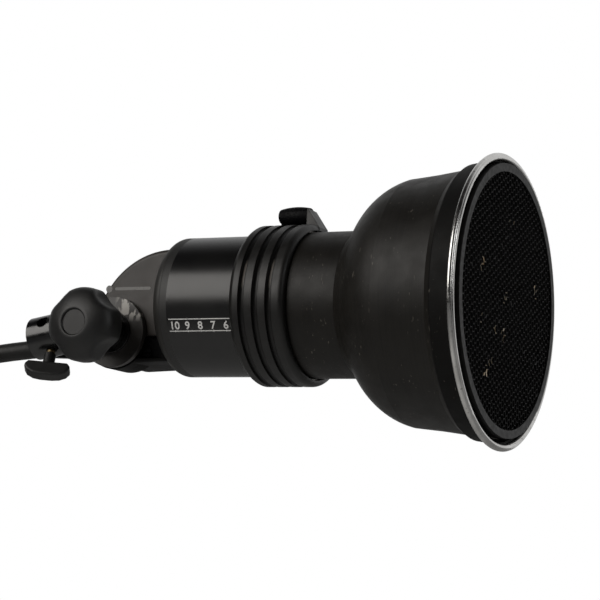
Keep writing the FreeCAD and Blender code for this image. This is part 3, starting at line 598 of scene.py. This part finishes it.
def text_mesh(text, height):
    """The letters as a flat mesh, cut into narrow bands so that it bends with the body."""
    data = bpy.data.curves.new("numeral", "FONT")
    data.body = text
    data.size = height / 0.72
    data.align_x = "CENTER"
    data.resolution_u = 3
    data.offset = height * 0.026
    holder = bpy.data.objects.new("numeral", data)
    bpy.context.scene.collection.objects.link(holder)
    bpy.context.view_layer.update()
    mesh = bpy.data.meshes.new_from_object(holder)
    bpy.data.objects.remove(holder)
    work = bmesh.new()
    work.from_mesh(mesh)
    bpy.data.meshes.remove(mesh)
    band = 0.0008
    for k in range(-2, 9):
        parts = work.verts[:] + work.edges[:] + work.faces[:]
        bmesh.ops.bisect_plane(work, geom=parts, plane_co=(0, k * band, 0), plane_no=(0, 1, 0))
    work.verts.index_update()
    verts = [v.co.copy() for v in work.verts]
    faces = [tuple(v.index for v in f.verts) for f in work.faces]
    work.free()
    return verts, faces


def make_scale(made):
    """The zoom scale: numerals between two fine lines, with a tick at each, printed on the body."""
    verts, faces = [], []
    middle = math.radians(22.5) * BODY_R
    line_half = 0.00034
    line_off = 0.0043
    tick_half = 0.0002
    numeral = 0.0057

    def patch(x0, x1, d0, d1):
        steps = max(1, int(abs(d1 - d0) / 0.001))
        base = len(verts)
        for k in range(steps + 1):
            d = d0 + (d1 - d0) * k / steps
            verts.extend([wrapped((x, d, PRINT_LIFT), BODY_R) for x in (x0, x1)])
        for k in range(steps):
            a = base + 2 * k
            faces.append((a, a + 1, a + 3, a + 2))

    start, length = 0.0070, 0.058
    first = 0.0116
    step = 0.01004
    for d in (middle - line_off, middle + line_off):
        patch(start, start + length, d - line_half, d + line_half)
    for k in range(7):
        x = first + k * step
        patch(x - tick_half, x + tick_half, middle + 0.0036, middle + 0.0051)
    for k, text in enumerate(("10", "9", "8", "7", "6", "5", "4")):
        points, polygons = text_mesh(text, numeral)
        base = len(verts)
        for p in points:
            verts.append(wrapped((first + k * step + p.x, middle + 0.0029 - p.y, PRINT_LIFT), BODY_R))
        faces.extend([tuple(base + i for i in f) for f in polygons])
    scale = new_object("zoom_scale_print", verts, faces, made["print_white"], smooth=False)
    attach(scale, "head")


def make_mark(made):
    """A plain printed disc and bar on the casting's near face, in place of lettering."""
    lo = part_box("fairing_right")[0]
    y = lo.y - PRINT_LIFT
    dot = 0.0026
    x0, z = SEAM.x - 0.0540, SEAM.z + 0.0105
    verts, faces = [], []

    def outline(points):
        base = len(verts)
        verts.extend([Vector((px, y, pz)) for px, pz in points])
        faces.append(tuple(range(base, base + len(points))))

    outline([(x0 + dot * math.cos(a), z + dot * math.sin(a))
             for a in (2 * math.pi * k / 32 for k in range(32))])
    half = 0.0011
    left, right = x0 + 0.0060, x0 + 0.0330
    ends = [(right + half * math.cos(a), z + half * math.sin(a))
            for a in (math.pi * (k / 10 - 0.5) for k in range(11))]
    ends += [(left - half * math.cos(a), z - half * math.sin(a))
             for a in (math.pi * (k / 10 - 0.5) for k in range(11))]
    outline(ends)
    mark = new_object("plain_mark_print", verts, faces, made["print_grey"], smooth=False)
    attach(mark, "head")


# ---- Finish of the CAD nodes ----
def dress(made):
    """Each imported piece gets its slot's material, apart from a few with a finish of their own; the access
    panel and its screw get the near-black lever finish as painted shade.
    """
    for entry in frame["record"]["subparts"]:
        node = NODES[entry["node"]]
        material = made[entry["material_slot"]]
        if not node.data.materials:
            node.data.materials.append(material)
        for spot in node.material_slots:
            spot.material = material
    # Painted shade: access_panel and panel_screw take lever_black to stand in for the shade of the recess
    # under the casting.
    for name, finish in (("clamp_lever", "lever_black"), ("clamp_wing", "soft_black"),
                         ("front_ring", "grid_paint"), ("stand_bracket", "stand_paint"),
                         ("access_panel", "lever_black"), ("panel_screw", "lever_black"),
                         ("lever_bracket", "rubber"), ("lever_pin", "rubber"),
                         ("thrust_washer", "gloss_black_paint")):
        for spot in NODES[name].material_slots:
            spot.material = made[finish]


# ---- Light and stage ----
def area_light(name, place, target, size, power, color=(1, 1, 1)):
    data = bpy.data.lights.new(name, "AREA")
    data.shape = "RECTANGLE"
    data.size, data.size_y = size
    data.energy = power
    data.color = color
    light = bpy.data.objects.new(name, data)
    light.location = place
    light.rotation_mode = "QUATERNION"
    light.rotation_quaternion = (Vector(target) - Vector(place)).to_track_quat("-Z", "Y")
    bpy.context.scene.collection.objects.link(light)


def ramp(tree, source, low, high, at_low, at_high):
    made = tree.nodes.new("ShaderNodeMapRange")
    made.interpolation_type = "SMOOTHSTEP"
    for key, value in (("From Min", low), ("From Max", high), ("To Min", at_low), ("To Max", at_high)):
        made.inputs[key].default_value = value
    tree.links.new(source, made.inputs["Value"])
    return made.outputs[0]


def make_stage():
    """A pale floor, a white backdrop that is bright behind and dim in front, and two soft lights."""
    mesh = bpy.data.meshes.new("floor")
    corners = [(FLOOR_HALF * x, FLOOR_HALF * y, FLOOR_Z) for x, y in ((-1, -1), (1, -1), (1, 1), (-1, 1))]
    mesh.from_pydata(corners, [], [(0, 1, 2, 3)])
    floor = bpy.data.objects.new("floor", mesh)
    bpy.context.scene.collection.objects.link(floor)
    s = Shader("floor", (0.80, 0.80, 0.79), 0.7)
    s.tint(s.noise(3.0, 2.0), (0.76, 0.76, 0.75))
    mesh.materials.append(s.done(0))

    world = bpy.data.worlds.new("studio")
    bpy.context.scene.world = world
    world.use_nodes = True
    tree = world.node_tree
    background = tree.nodes["Background"]
    path = tree.nodes.new("ShaderNodeLightPath")
    place = tree.nodes.new("ShaderNodeTexCoord")
    axes = tree.nodes.new("ShaderNodeSeparateXYZ")
    tree.links.new(place.outputs["Generated"], axes.inputs[0])
    behind = ramp(tree, axes.outputs["Y"], 0.0, 0.75, 0.008, 0.60)
    level = tree.nodes.new("ShaderNodeMix")
    tree.links.new(path.outputs["Is Camera Ray"], level.inputs[0])
    tree.links.new(behind, level.inputs[2])
    level.inputs[3].default_value = 1.0
    tree.links.new(level.outputs[0], background.inputs["Strength"])
    background.inputs["Color"].default_value = (1, 1, 1, 1)
    bpy.context.scene.view_settings.view_transform = "Standard"

    target = SEAM + Vector((0.08, 0, 0))
    area_light("softbox", target + Vector((-0.76, -1.25, 0.64)), target, (1.5, 1.02), 13, (1, 0.97, 0.93))
    area_light("right", target + Vector((1.5, -0.5, 0.6)), target, (0.5, 0.9), 2.5)


made = materials()
make_camera()
make_lead(made)
dress(made)
make_honeycomb(made)
make_knob(made)
make_scale(made)
make_mark(made)
make_stage()
